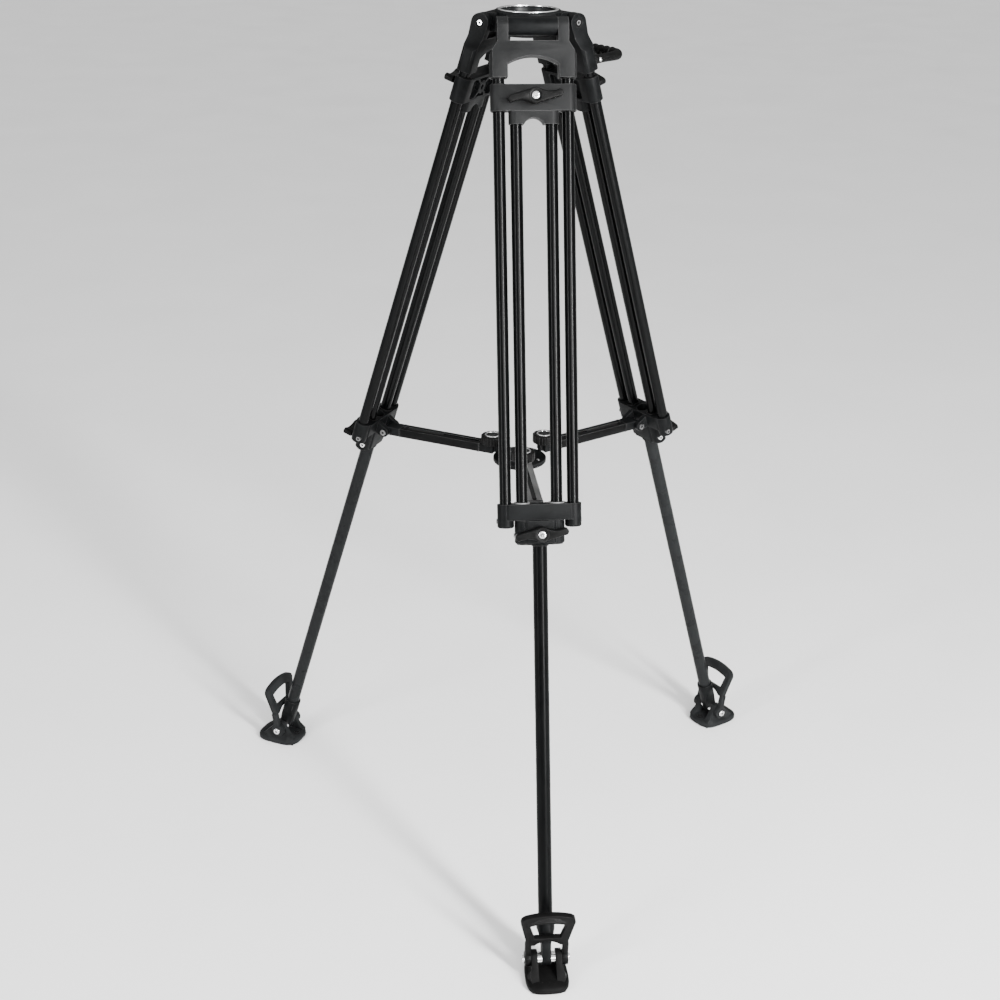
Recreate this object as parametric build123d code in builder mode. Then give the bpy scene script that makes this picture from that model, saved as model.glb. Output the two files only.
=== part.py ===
from build123d import *
import math
import os

# Camera tripod with twin-tube legs, a 75 mm half-ball bowl, a mid-level spreader and stirrup feet.
# Millimetres, +Z up, origin on the floor under the bowl's axis. The front leg points along -Y.
# Leg pieces are made in leg coordinates: X along the hinge pin, Y outward, Z down the leg.
# Shoes and spreader arms are made in radial coordinates: X sideways, Y outward, Z up from the floor.

LEGS = {"front": -90, "right": 30, "left": 150}

# legs
LEG_ANGLE = 17.6
HINGE_R = 49.6
HINGE_Z = 1234.3
PIN_R = 4.0
PIN_FIT = 0.06
FIT = 0.03
SLIDE_GAP = 0.35

# tubes
TUBE_R = 8.0
TUBE_WALL = 1.5
OUTER_TUBE_X = 46.0
INNER_TUBE_X = 23.6
LOWER_TUBE_R = 10.0
OUTER_TUBE_TOP = 40.0
OUTER_TUBE_END = 655.0
INNER_TUBE_TOP = 110.0
INNER_TUBE_END = 675.0
LOWER_TUBE_TOP = 653.0
LOWER_TUBE_END = 1230.0

# yoke
FORK_IN = 33.0
FORK_OUT = 47.0
FORK_R = 12.5
WEB_TOP = 20.0
ARCH_TOP = 39.0
ARCH_END = 49.0
YOKE_HALF = 57.5
YOKE_DEPTH = 10.5
YOKE_END = 66.5

# upper clamp
CLAMP_TOP = 75.5
CLAMP_END = 109.5
CLAMP_HALF = 57.3
CLAMP_DEPTH = 11.3
BRACKET_HALF = 33.4
BRACKET_DEPTH = 9.8
BRACKET_END = 126.5
BRACKET_ARCH_R = 14.5
BRACKET_ARCH_TOP = 118.0

# wing knobs
UPPER_KNOB_S = 92.5
LOWER_KNOB_S = 667.5
KNOB_BASE = 13.6
KNOB_BOSS_H = 6.0
KNOB_WING_H = 13.0
KNOB_HUB_R = 10.5
BOLT_R = 4.0
BOLT_HEAD_R = 5.6

# tube base at the foot of the outer tubes
BASE_TOP = 628.5
BASE_END = 661.0
BASE_MIDDLE_END = 650.0
BASE_LOBE_R = 11.3
BASE_DEPTH = 13.0
EAR_IN = 12.0
EAR_OUT = 19.5
EAR_R = 7.5

# lower clamp
LOW_CLAMP_TOP = 651.0
LOW_CLAMP_END = 684.0
LOW_CLAMP_HALF = 34.0
LOW_CLAMP_DEPTH = 13.0

# foot
FOOT_S = 1266.5
SOCKET_TOP = 1212.0
SOCKET_R = 12.8
TONGUE_HALF = 6.4
SPACER_END = 12.3
SPACER_R = 9.5
SHOE_EAR_IN = 12.6
SHOE_EAR_OUT = 21.4
STIRRUP_IN = 21.8
STIRRUP_OUT = 30.3
SHOE_WIDTH = 62.0
SHOE_BACK = 30.0
SHOE_FRONT = 46.0
SOLE_H = 8.0
STIRRUP_TILT = 27.0

# spreader
SPREADER_Z = 613.0
SPREADER_R = 220.0
ARM_WIDTH = 22.0
ARM_DEPTH = 13.0
ARM_START = 62.0
ARM_END = 198.0
ARM_SLOT = 6.5
BLADE_START = 35.5
BLADE_HALF = 2.9
SPREADER_KNOB_Y = 45.0
SPREADER_KNOB_R = 17.0
SPREADER_KNOB_H = 13.0
HUB_R = 39.5

# crown
RIM_Z = 1251.0
CROWN_R = 45.0
BOWL_BALL_R = 37.5
BOWL_THROAT_R = 28.0
SEAT_R = 41.0
BARREL_R = 12.0
BARREL_HALF = 32.6

tilt = math.radians(LEG_ANGLE)
foot_r = HINGE_R + FOOT_S * math.sin(tilt)
foot_z = HINGE_Z - FOOT_S * math.cos(tilt)
# spreader pivot in leg coordinates
ear_reach = SPREADER_R - HINGE_R
ear_drop = HINGE_Z - SPREADER_Z
ear_y = ear_reach * math.cos(tilt) - ear_drop * math.sin(tilt)
ear_s = ear_reach * math.sin(tilt) + ear_drop * math.cos(tilt)

os.makedirs("parts", exist_ok=True)


def leg_frame(azimuth):
    """X along the hinge pin, Y outward, Z down the leg, origin on the hinge axis."""
    a = math.radians(azimuth)
    return Plane(
        origin=(HINGE_R * math.cos(a), HINGE_R * math.sin(a), HINGE_Z),
        x_dir=(-math.sin(a), math.cos(a), 0),
        z_dir=(math.sin(tilt) * math.cos(a), math.sin(tilt) * math.sin(a), -math.cos(tilt)),
    )


def radial_frame(azimuth):
    """X sideways, Y outward along the leg's azimuth, Z up, origin on the floor."""
    a = math.radians(azimuth)
    return Plane(origin=(0, 0, 0), x_dir=(math.sin(a), -math.cos(a), 0), z_dir=(0, 0, 1))


def save(piece, frame, name):
    """Put one copy of a piece where its frame says, label it and write it."""
    with BuildPart() as placed:
        with Locations(frame.location):
            add(piece.part)
    placed.part.label = name
    export_step(placed.part, f"parts/{name}.step")


def cross_pin(radius, start, end, y, z):
    """A cylinder along X, from one X to another, at a height and depth."""
    with Locations(Location(((start + end) / 2, y, z), (0, 90, 0))):
        Cylinder(radius, abs(end - start))


def cross_hole(radius, y, z):
    """A hole along X right through the piece."""
    with Locations(Location((0, y, z), (0, 90, 0))):
        Cylinder(radius, 200, mode=Mode.SUBTRACT)


def down_hole(radius, x, start, end):
    """A hole down the leg between two stations."""
    with Locations((x, 0, start)):
        Cylinder(radius, end - start, align=(Align.CENTER, Align.CENTER, Align.MIN), mode=Mode.SUBTRACT)


def twin_tubes(x, radius, start, end):
    """Two drawn tubes side by side."""
    with BuildPart() as tubes:
        with BuildSketch(Plane.XY.offset(start)):
            with Locations((x, 0), (-x, 0)):
                Circle(radius)
                Circle(radius - TUBE_WALL, mode=Mode.SUBTRACT)
        extrude(amount=end - start)
    return tubes


def make_yoke():
    """Fork over the crown's hinge barrel, with a socket each side for the outer tubes."""
    with BuildPart() as yoke:
        with BuildSketch(Plane.XZ):
            with BuildLine():
                right = Polyline(
                    (0, WEB_TOP),
                    (FORK_IN, WEB_TOP),
                    (FORK_IN, -FORK_R - 1),
                    (FORK_OUT, -FORK_R - 1),
                    (FORK_OUT, WEB_TOP),
                    (YOKE_HALF, WEB_TOP + 17),
                    (YOKE_HALF, YOKE_END),
                    (0, YOKE_END),
                )
                mirror(right, about=Plane.YZ)
            make_face()
            with BuildLine():
                arch = ThreePointArc((-FORK_IN - 1, ARCH_END), (0, ARCH_TOP), (FORK_IN + 1, ARCH_END))
                Polyline(arch @ 1, (FORK_IN + 1, YOKE_END + 1), (-FORK_IN - 1, YOKE_END + 1), arch @ 0)
            make_face(mode=Mode.SUBTRACT)
        extrude(amount=FORK_R, both=True)
        shoulders = yoke.edges().filter_by(Axis.Z).group_by(Axis.X)
        fillet(shoulders[0] + shoulders[-1], 9.5)
        with BuildSketch(Plane.YZ):
            Circle(FORK_R)
            with BuildLine():
                Polyline(
                    (-FORK_R, 0),
                    (FORK_R, 0),
                    (YOKE_DEPTH, WEB_TOP + 8),
                    (YOKE_DEPTH, YOKE_END),
                    (-YOKE_DEPTH, YOKE_END),
                    (-YOKE_DEPTH, WEB_TOP + 8),
                    close=True,
                )
            make_face()
        extrude(amount=YOKE_HALF + 1, both=True, mode=Mode.INTERSECT)
        cross_hole(PIN_R + PIN_FIT, 0, 0)
        for side in (-1, 1):
            with Locations(Location((side * (FORK_OUT - 1.5), 0, 0), (0, 90, 0))):
                Cylinder(5.8, 3.02, mode=Mode.SUBTRACT)
            down_hole(TUBE_R + FIT, side * OUTER_TUBE_X, OUTER_TUBE_TOP, YOKE_END + 1)
    return yoke


def make_upper_clamp():
    """Carriage that slides on the outer tubes and hangs the inner tubes from its bracket."""
    pocket_z = (CLAMP_TOP + CLAMP_END) / 2
    with BuildPart() as clamp:
        with BuildSketch(Plane.XY.offset(CLAMP_TOP)):
            SlotOverall(2 * CLAMP_HALF, 2 * CLAMP_DEPTH)
        extrude(amount=CLAMP_END - CLAMP_TOP)
        with BuildSketch(Plane.XY.offset(CLAMP_END)):
            SlotOverall(2 * BRACKET_HALF, 2 * BRACKET_DEPTH)
        extrude(amount=BRACKET_END - CLAMP_END)
        with BuildSketch(Plane.XZ):
            with Locations((0, BRACKET_ARCH_TOP + BRACKET_ARCH_R)):
                Circle(BRACKET_ARCH_R)
        extrude(amount=2 * CLAMP_DEPTH, both=True, mode=Mode.SUBTRACT)
        # lightening pockets with diagonal ribs, open to the inner side
        with BuildSketch(Plane.XZ.offset(CLAMP_DEPTH)):
            with Locations((0, pocket_z)):
                RectangleRounded(66, 27, 3)
                Circle(9.5, mode=Mode.SUBTRACT)
                Rectangle(75, 2.6, rotation=38, mode=Mode.SUBTRACT)
                Rectangle(75, 2.6, rotation=-38, mode=Mode.SUBTRACT)
        extrude(amount=-7, mode=Mode.SUBTRACT)
        for side in (-1, 1):
            down_hole(TUBE_R + SLIDE_GAP, side * OUTER_TUBE_X, CLAMP_TOP - 1, CLAMP_END + 1)
            down_hole(TUBE_R + FIT, side * INNER_TUBE_X, INNER_TUBE_TOP, BRACKET_END + 1)
        with Locations(Location((0, 0, UPPER_KNOB_S), (90, 0, 0))):
            Cylinder(BOLT_R + FIT, 60, mode=Mode.SUBTRACT)
    return clamp


def make_wing_knob(station):
    """Wing knob on the clamp's outward bolt, with one S-shaped pair of wings."""
    wing_start = KNOB_BASE + KNOB_BOSS_H
    with BuildPart() as knob:
        with BuildSketch(Plane.XZ.offset(-KNOB_BASE)):
            with Locations((0, station)):
                Circle(KNOB_HUB_R - 1.5)
        extrude(amount=-KNOB_BOSS_H)
        with BuildSketch(Plane.XZ.offset(-wing_start)):
            with Locations((0, station)):
                Circle(KNOB_HUB_R)
            for side in (-1, 1):
                with BuildLine():
                    upper = Spline(
                        (side * 2, station - side * 10.2),
                        (side * 12, station - side * 6.6),
                        (side * 22, station - side * 5.8),
                        (side * 30, station - side * 8.2),
                    )
                    tip = ThreePointArc(
                        upper @ 1,
                        (side * 36.0, station - side * 4.5),
                        (side * 33.5, station + side * 0.8),
                    )
                    Line(tip @ 1, (side * 6, station + side * 8.6))
                    Line((side * 6, station + side * 8.6), upper @ 0)
                make_face()
        extrude(amount=-KNOB_WING_H)
        fillet(knob.faces().sort_by(Axis.Y)[-1].edges(), 1.8)
        with Locations(Location((0, 0, station), (90, 0, 0))):
            Cylinder(BOLT_R + PIN_FIT, 200, mode=Mode.SUBTRACT)
        with Locations(Location((0, wing_start + KNOB_WING_H, station), (90, 0, 0))):
            Cylinder(BOLT_HEAD_R + 0.5, 5, mode=Mode.SUBTRACT)
    return knob


def make_clamp_bolts():
    """Polished bolts that the two wing knobs turn on, and the set screws beside the lower tube."""
    seat = KNOB_BASE + KNOB_BOSS_H + KNOB_WING_H - 2.3
    with BuildPart() as bolts:
        for station, start in ((UPPER_KNOB_S, -3.5), (LOWER_KNOB_S, LOWER_TUBE_R + 1)):
            with BuildSketch(Plane.XZ.offset(-start)):
                with Locations((0, station)):
                    Circle(BOLT_R)
            extrude(amount=start - seat)
            with BuildSketch(Plane.XZ.offset(-seat)):
                with Locations((0, station)):
                    Circle(BOLT_HEAD_R)
            extrude(amount=-3.4)
        fillet(bolts.faces().group_by(Axis.Y)[-1].edges(), 2.4)
        for side in (-1, 1):
            start = side * (INNER_TUBE_X + TUBE_R + 0.2)
            cross_pin(3.4, start, side * (LOW_CLAMP_HALF + 0.9), -4, LOWER_KNOB_S + 5)
    return bolts


def make_tube_base():
    """Casting that ends the outer tubes, guides the inner tubes and carries the spreader's ears."""
    with BuildPart() as base:
        with BuildSketch(Plane.XY.offset(BASE_TOP)):
            with Locations((OUTER_TUBE_X, 0), (-OUTER_TUBE_X, 0)):
                Circle(BASE_LOBE_R)
        extrude(amount=BASE_END - BASE_TOP)
        fillet(base.faces().sort_by(Axis.Z)[-2:].edges(), 3)
        with BuildSketch(Plane.XY.offset(BASE_TOP)):
            RectangleRounded(2 * OUTER_TUBE_X, 2 * BASE_DEPTH, 4)
        extrude(amount=BASE_MIDDLE_END - BASE_TOP)
        for side in (-1, 1):
            with BuildSketch(Plane.YZ.offset(side * (EAR_IN + EAR_OUT) / 2)):
                with Locations((ear_y, ear_s)):
                    Circle(EAR_R)
                with BuildLine():
                    Polyline(
                        (ear_y, ear_s - EAR_R),
                        (-BASE_DEPTH + 1, ear_s - EAR_R - 4),
                        (-BASE_DEPTH + 1, BASE_MIDDLE_END),
                        (ear_y + 1, ear_s + EAR_R - 0.2),
                        close=True,
                    )
                make_face()
            extrude(amount=(EAR_OUT - EAR_IN) / 2, both=True)
            down_hole(TUBE_R + FIT, side * OUTER_TUBE_X, BASE_TOP - 1, OUTER_TUBE_END)
            down_hole(TUBE_R + SLIDE_GAP, side * INNER_TUBE_X, BASE_TOP - 1, BASE_END + 1)
            with Locations(Location((side * (OUTER_TUBE_X + 10), -4, BASE_END - 9), (0, 90, 0))):
                Cylinder(3.4 + FIT, 6, mode=Mode.SUBTRACT)
        down_hole(LOWER_TUBE_R + SLIDE_GAP, 0, BASE_TOP - 1, BASE_END + 1)
        cross_hole(PIN_R + FIT, ear_y, ear_s)
    return base


def make_base_screws():
    """Pivot pin of the spreader arm with its two heads, and a set screw in each lobe."""
    with BuildPart() as screws:
        cross_pin(PIN_R, -EAR_OUT - 1, EAR_OUT + 1, ear_y, ear_s)
        for side in (-1, 1):
            cross_pin(4.6, side * (EAR_OUT + 0.05), side * (EAR_OUT + 2.4), ear_y, ear_s)
            cross_pin(3.4, side * (OUTER_TUBE_X + TUBE_R + 0.2), side * (OUTER_TUBE_X + 12.1), -4, BASE_END - 9)
    return screws


def make_lower_clamp():
    """Clamp at the foot of the inner tubes that grips the lower tube."""
    with BuildPart() as clamp:
        with BuildSketch(Plane.XY.offset(LOW_CLAMP_TOP)):
            SlotOverall(2 * LOW_CLAMP_HALF, 2 * LOW_CLAMP_DEPTH - 4)
            RectangleRounded(44, 2 * LOW_CLAMP_DEPTH, 5)
        extrude(amount=LOW_CLAMP_END - LOW_CLAMP_TOP)
        chamfer(clamp.faces().sort_by(Axis.Z)[-1].edges(), 3)
        for side in (-1, 1):
            down_hole(TUBE_R + FIT, side * INNER_TUBE_X, LOW_CLAMP_TOP - 1, INNER_TUBE_END)
            with Locations(Location((side * (LOW_CLAMP_HALF - 1), -4, LOWER_KNOB_S + 5), (0, 90, 0))):
                Cylinder(3.4 + FIT, 8.02, mode=Mode.SUBTRACT)
        down_hole(LOWER_TUBE_R + SLIDE_GAP, 0, LOW_CLAMP_TOP - 1, LOW_CLAMP_END + 1)
        with Locations(Location((0, LOWER_TUBE_R + 6, LOWER_KNOB_S), (90, 0, 0))):
            Cylinder(BOLT_R + FIT, 10, mode=Mode.SUBTRACT)
    return clamp


def make_lower_tube():
    """Single tube that slides out of the lower clamp."""
    with BuildPart() as tube:
        with BuildSketch(Plane.XY.offset(LOWER_TUBE_TOP)):
            Circle(LOWER_TUBE_R)
            Circle(LOWER_TUBE_R - TUBE_WALL, mode=Mode.SUBTRACT)
        extrude(amount=LOWER_TUBE_END - LOWER_TUBE_TOP)
    return tube


def make_foot_socket():
    """Collar on the lower tube that narrows to a tongue on the foot's pivot."""
    waist = LOWER_TUBE_END + 4
    collar_end = SOCKET_TOP + 10
    with BuildPart() as socket:
        with BuildSketch(Plane.YZ):
            with Locations((0, FOOT_S)):
                Circle(9.5)
            with BuildLine():
                Polyline(
                    (-SOCKET_R, SOCKET_TOP),
                    (SOCKET_R, SOCKET_TOP),
                    (SOCKET_R, collar_end),
                    (9.4, FOOT_S - 1),
                    (-9.4, FOOT_S - 1),
                    (-SOCKET_R, collar_end),
                    close=True,
                )
            make_face()
        extrude(amount=SOCKET_R, both=True)
        with BuildSketch(Plane.XZ):
            with BuildLine():
                Polyline(
                    (-SOCKET_R, SOCKET_TOP),
                    (SOCKET_R, SOCKET_TOP),
                    (SOCKET_R, LOWER_TUBE_END - 8),
                    (TONGUE_HALF, waist + 8),
                    (TONGUE_HALF, FOOT_S + 10),
                    (-TONGUE_HALF, FOOT_S + 10),
                    (-TONGUE_HALF, waist + 8),
                    (-SOCKET_R, LOWER_TUBE_END - 8),
                    close=True,
                )
            make_face()
        extrude(amount=SOCKET_R + 1, both=True, mode=Mode.INTERSECT)
        with BuildSketch(Plane.XY.offset(SOCKET_TOP - 1)):
            Circle(SOCKET_R)
        extrude(amount=FOOT_S + 12 - SOCKET_TOP, mode=Mode.INTERSECT)
        down_hole(LOWER_TUBE_R + FIT, 0, SOCKET_TOP - 1, LOWER_TUBE_END)
        cross_hole(PIN_R + FIT, 0, FOOT_S)
    return socket


def make_foot_pin():
    """Foot pivot pin with domed heads, and a bright spacer each side of the tongue."""
    with BuildPart() as pin:
        cross_pin(PIN_R, -STIRRUP_OUT - 1, STIRRUP_OUT + 1, 0, FOOT_S)
        for side in (-1, 1):
            cross_pin(SPACER_R, side * (TONGUE_HALF + 0.05), side * SPACER_END, 0, FOOT_S)
            cross_pin(5.6, side * (STIRRUP_OUT + 0.4), side * (STIRRUP_OUT + 3.4), 0, FOOT_S)
        heads = pin.faces().sort_by(Axis.X)
        fillet(heads[0].edges() + heads[-1].edges(), 2)
    return pin


def make_rubber_foot():
    """Rubber shoe, flat on the floor, with two ears on the pivot and a toe hole and heel tab."""
    with BuildPart() as shoe:
        with BuildSketch():
            with Locations((0, foot_r + (SHOE_FRONT - SHOE_BACK) / 2)):
                RectangleRounded(SHOE_WIDTH, SHOE_FRONT + SHOE_BACK, 13)
        extrude(amount=SOLE_H)
        with BuildSketch(Plane.XY.offset(SOLE_H)):
            with Locations((0, foot_r + (SHOE_FRONT - SHOE_BACK) / 2)):
                RectangleRounded(SHOE_WIDTH, SHOE_FRONT + SHOE_BACK, 13)
        extrude(amount=6, taper=42)
        for side in (-1, 1):
            with BuildSketch(Plane.YZ.offset(side * (SHOE_EAR_IN + SHOE_EAR_OUT) / 2)):
                with Locations((foot_r, foot_z)):
                    Circle(12.5)
                with BuildLine():
                    rise = ThreePointArc(
                        (foot_r + SHOE_FRONT - 8, SOLE_H - 1),
                        (foot_r + 25, foot_z - 6),
                        (foot_r + 8, foot_z + 9),
                    )
                    Polyline(rise @ 1, (foot_r - 9, foot_z + 8), (foot_r - SHOE_BACK + 8, SOLE_H - 1), rise @ 0)
                make_face()
            extrude(amount=(SHOE_EAR_OUT - SHOE_EAR_IN) / 2, both=True)
        cross_hole(PIN_R + PIN_FIT, foot_r, foot_z)
        with Locations((0, foot_r - SHOE_BACK + 9, SOLE_H + 2)):
            Cylinder(3.2, 12, mode=Mode.SUBTRACT)
    return shoe


def make_stirrup():
    """Trapezoid ring that pivots on the foot pin and leans out in front of the tube."""
    lean = math.radians(STIRRUP_TILT)
    ring_plane = Plane(
        origin=(0, 0, FOOT_S), x_dir=(1, 0, 0), z_dir=(0, math.cos(lean), math.sin(lean))
    )
    with BuildPart() as stirrup:
        with BuildSketch(ring_plane):
            with BuildLine():
                cheek = Polyline((28.0, 30), (38.0, 73), (36.5, 78.5), (32.0, 82.0))
                ThreePointArc((-32, 82), (0, 87), (32, 82))
                other = Polyline((-32.0, 82.0), (-36.5, 78.5), (-38.0, 73), (-28.0, 30))
                Line(other @ 1, cheek @ 0)
            make_face()
            with BuildLine():
                sill = Polyline((-25.5, 68), (-18.5, 43), (18.5, 43), (25.5, 68))
                ThreePointArc(sill @ 1, (0, 71.5), sill @ 0)
            make_face(mode=Mode.SUBTRACT)
            with Locations(((STIRRUP_IN + STIRRUP_OUT) / 2, 16), (-(STIRRUP_IN + STIRRUP_OUT) / 2, 16)):
                Rectangle(STIRRUP_OUT - STIRRUP_IN, 32)
            with BuildLine():
                vault = ThreePointArc((-STIRRUP_IN, 24), (0, 37.5), (STIRRUP_IN, 24))
                Line(vault @ 1, vault @ 0)
            make_face(mode=Mode.SUBTRACT)
        extrude(amount=4.5, both=True)
        for side in (-1, 1):
            cross_pin(10.5, side * STIRRUP_IN, side * STIRRUP_OUT, 0, FOOT_S)
        cross_hole(PIN_R + PIN_FIT, 0, FOOT_S)
    return stirrup


def make_spreader_arm():
    """Slotted aluminium channel of one spreader arm."""
    bottom = SPREADER_Z - ARM_DEPTH / 2
    with BuildPart() as arm:
        with BuildSketch(Plane.XY.offset(bottom)):
            with Locations((0, (ARM_START + ARM_END) / 2)):
                Rectangle(ARM_WIDTH, ARM_END - ARM_START)
                SlotOverall(ARM_END - ARM_START - 10, ARM_SLOT, rotation=90, mode=Mode.SUBTRACT)
        extrude(amount=ARM_DEPTH)
        with BuildSketch(Plane.XY.offset(bottom)):
            with Locations((0, (ARM_START + ARM_END) / 2)):
                Rectangle(ARM_WIDTH - 6, ARM_END - ARM_START)
        extrude(amount=ARM_DEPTH - 3, mode=Mode.SUBTRACT)
    return arm


def make_spreader_fittings():
    """End fittings of one arm: the block with a blade at the hub, and the tongue at the leg."""
    bottom = SPREADER_Z - ARM_DEPTH / 2
    with BuildPart() as fittings:
        with BuildSketch(Plane.XY.offset(bottom)):
            with Locations((0, (ARM_START + 40) / 2)):
                Rectangle(ARM_WIDTH, ARM_START - 40)
            with Locations((0, (BLADE_START + 41) / 2)):
                Rectangle(2 * BLADE_HALF, 41 - BLADE_START)
        extrude(amount=ARM_DEPTH)
        with BuildSketch(Plane.YZ):
            with Locations((SPREADER_R, SPREADER_Z)):
                Circle(ARM_DEPTH / 2)
            with Locations(((ARM_END + SPREADER_R) / 2, SPREADER_Z)):
                Rectangle(SPREADER_R - ARM_END, ARM_DEPTH)
        extrude(amount=ARM_WIDTH / 2, both=True)
        cross_hole(PIN_R + PIN_FIT, SPREADER_R, SPREADER_Z)
    return fittings


def make_spreader_knob():
    """Round locking knob on top of the arm's inner block."""
    base = SPREADER_Z + ARM_DEPTH / 2 + 0.3
    with BuildPart() as knob:
        with BuildSketch(Plane.XY.offset(base)):
            with Locations((0, SPREADER_KNOB_Y)):
                Circle(SPREADER_KNOB_R)
                with PolarLocations(SPREADER_KNOB_R + 1.4, 12):
                    Circle(2.2, mode=Mode.SUBTRACT)
        extrude(amount=SPREADER_KNOB_H)
        chamfer(knob.faces().sort_by(Axis.Z)[-1].edges(), 1.0)
    return knob


def make_crown():
    """Crown ring with the ball cavity and three hinge barrels."""
    with BuildPart() as crown:
        with BuildSketch(Plane.XZ):
            with BuildLine():
                Polyline(
                    (0, RIM_Z - 1),
                    (CROWN_R - 2, RIM_Z - 1),
                    (CROWN_R, RIM_Z - 3),
                    (CROWN_R, RIM_Z - 25),
                    (CROWN_R - 10, RIM_Z - 34),
                    (0, RIM_Z - 34),
                    close=True,
                )
            make_face()
        revolve(axis=Axis.Z)
        for azimuth in LEGS.values():
            a = math.radians(azimuth)
            side = Plane(
                origin=(0, 0, 0), x_dir=(math.cos(a), math.sin(a), 0), z_dir=(math.sin(a), -math.cos(a), 0)
            )
            with BuildSketch(side):
                with Locations((HINGE_R, HINGE_Z)):
                    Circle(BARREL_R)
                with Locations(((HINGE_R + 24) / 2, HINGE_Z)):
                    Rectangle(HINGE_R - 24, 2 * BARREL_R)
            extrude(amount=BARREL_HALF, both=True)
        with Locations((0, 0, RIM_Z)):
            Sphere(BOWL_BALL_R, mode=Mode.SUBTRACT)
            Cylinder(BOWL_THROAT_R, 200, mode=Mode.SUBTRACT)
        with Locations((0, 0, RIM_Z - 12)):
            Cylinder(
                SEAT_R, 30, align=(Align.CENTER, Align.CENTER, Align.MIN), mode=Mode.SUBTRACT
            )
        for azimuth in LEGS.values():
            a = math.radians(azimuth)
            axis_plane = Plane(
                origin=(HINGE_R * math.cos(a), HINGE_R * math.sin(a), HINGE_Z),
                z_dir=(-math.sin(a), math.cos(a), 0),
            )
            with Locations(axis_plane.location):
                Cylinder(PIN_R + FIT, 2 * BARREL_HALF + 2, mode=Mode.SUBTRACT)
    return crown


def make_bowl_seat():
    """Bright machined liner of the bowl: the spherical seat's upper band and the flat rim."""
    with BuildPart() as seat:
        with Locations((0, 0, RIM_Z - 12)):
            Cylinder(SEAT_R, 12, align=(Align.CENTER, Align.CENTER, Align.MIN))
        with Locations((0, 0, RIM_Z)):
            Sphere(BOWL_BALL_R, mode=Mode.SUBTRACT)
        chamfer(seat.faces().sort_by(Axis.Z)[-1].edges().sort_by(SortBy.RADIUS)[-1], 0.6)
    return seat


def make_hinge_pins():
    """The three hinge pins with their recessed heads."""
    with BuildPart() as pins:
        for azimuth in LEGS.values():
            a = math.radians(azimuth)
            axis_plane = Plane(
                origin=(HINGE_R * math.cos(a), HINGE_R * math.sin(a), HINGE_Z),
                z_dir=(-math.sin(a), math.cos(a), 0),
            )
            with Locations(axis_plane.location):
                Cylinder(PIN_R, 2 * FORK_OUT - 3)
            for side in (-1, 1):
                with Locations(axis_plane.offset(side * (FORK_OUT - 1.4)).location):
                    Cylinder(4.9, 2.4)
    return pins


def make_spreader_hub():
    """Round plate that the three arms meet on."""
    top = SPREADER_Z - ARM_DEPTH / 2 - 0.4
    with BuildPart() as hub:
        with Locations((0, 0, top)):
            Cylinder(HUB_R, 7, align=(Align.CENTER, Align.CENTER, Align.MAX))
            Cylinder(9, 5, align=(Align.CENTER, Align.CENTER, Align.MIN))
        chamfer(hub.edges().filter_by(GeomType.CIRCLE).group_by(Axis.Z)[0], 1.5)
        with Locations((0, 0, top)):
            Cylinder(3.5 + FIT, 30, mode=Mode.SUBTRACT)
    return hub


def make_hub_screw():
    """Bright screw through the hub's boss."""
    top = SPREADER_Z - ARM_DEPTH / 2 - 0.4
    with BuildPart() as screw:
        with Locations((0, 0, top - 7)):
            Cylinder(3.5, 12.05, align=(Align.CENTER, Align.CENTER, Align.MIN))
        with Locations((0, 0, top + 5.05)):
            Cylinder(6.5, 2.5, align=(Align.CENTER, Align.CENTER, Align.MIN))
    return screw


def make_carry_handle():
    """Carrying handle on the right leg's yoke: a bar with two elbows and a foot pad each side."""
    reach = 60.0
    start = YOKE_DEPTH
    station = 57.0
    with BuildPart() as handle:
        with BuildLine() as path:
            FilletPolyline(
                (-44, start, station),
                (-44, reach, station + 12),
                (44, reach, station + 12),
                (44, start, station),
                radius=11,
            )
        with BuildSketch(Plane(origin=path.line @ 0, z_dir=path.line % 0)):
            Circle(7.4)
        sweep()
        with BuildSketch(Plane.XZ.offset(-start)):
            with Locations((-44, station), (44, station)):
                Circle(9)
        extrude(amount=-4)
        with BuildSketch(Plane.XZ.offset(-start)):
            Rectangle(200, 400)
        extrude(amount=20, mode=Mode.SUBTRACT)
    return handle


leg_pieces = {
    "yoke": make_yoke(),
    "outer_tubes": twin_tubes(OUTER_TUBE_X, TUBE_R, OUTER_TUBE_TOP, OUTER_TUBE_END),
    "tube_base": make_tube_base(),
    "base_screws": make_base_screws(),
    "upper_clamp": make_upper_clamp(),
    "upper_knob": make_wing_knob(UPPER_KNOB_S),
    "inner_tubes": twin_tubes(INNER_TUBE_X, TUBE_R, INNER_TUBE_TOP, INNER_TUBE_END),
    "lower_clamp": make_lower_clamp(),
    "lower_knob": make_wing_knob(LOWER_KNOB_S),
    "clamp_bolts": make_clamp_bolts(),
    "lower_tube": make_lower_tube(),
    "foot_socket": make_foot_socket(),
    "foot_pin": make_foot_pin(),
    "stirrup": make_stirrup(),
}
radial_pieces = {
    "rubber_foot": make_rubber_foot(),
    "spreader_arm": make_spreader_arm(),
    "spreader_fittings": make_spreader_fittings(),
    "spreader_knob": make_spreader_knob(),
}
for leg, azimuth in LEGS.items():
    for name, piece in leg_pieces.items():
        save(piece, leg_frame(azimuth), f"{leg}_{name}")
    for name, piece in radial_pieces.items():
        save(piece, radial_frame(azimuth), f"{leg}_{name}")

save(make_carry_handle(), leg_frame(LEGS["right"]), "carry_handle")
save(make_crown(), Plane.XY, "crown")
save(make_bowl_seat(), Plane.XY, "bowl_seat")
save(make_hinge_pins(), Plane.XY, "hinge_pins")
save(make_spreader_hub(), Plane.XY, "spreader_hub")
save(make_hub_screw(), Plane.XY, "spreader_hub_screw")
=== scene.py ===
import bpy
import bmesh
import math
from mathutils import Matrix, Vector


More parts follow.
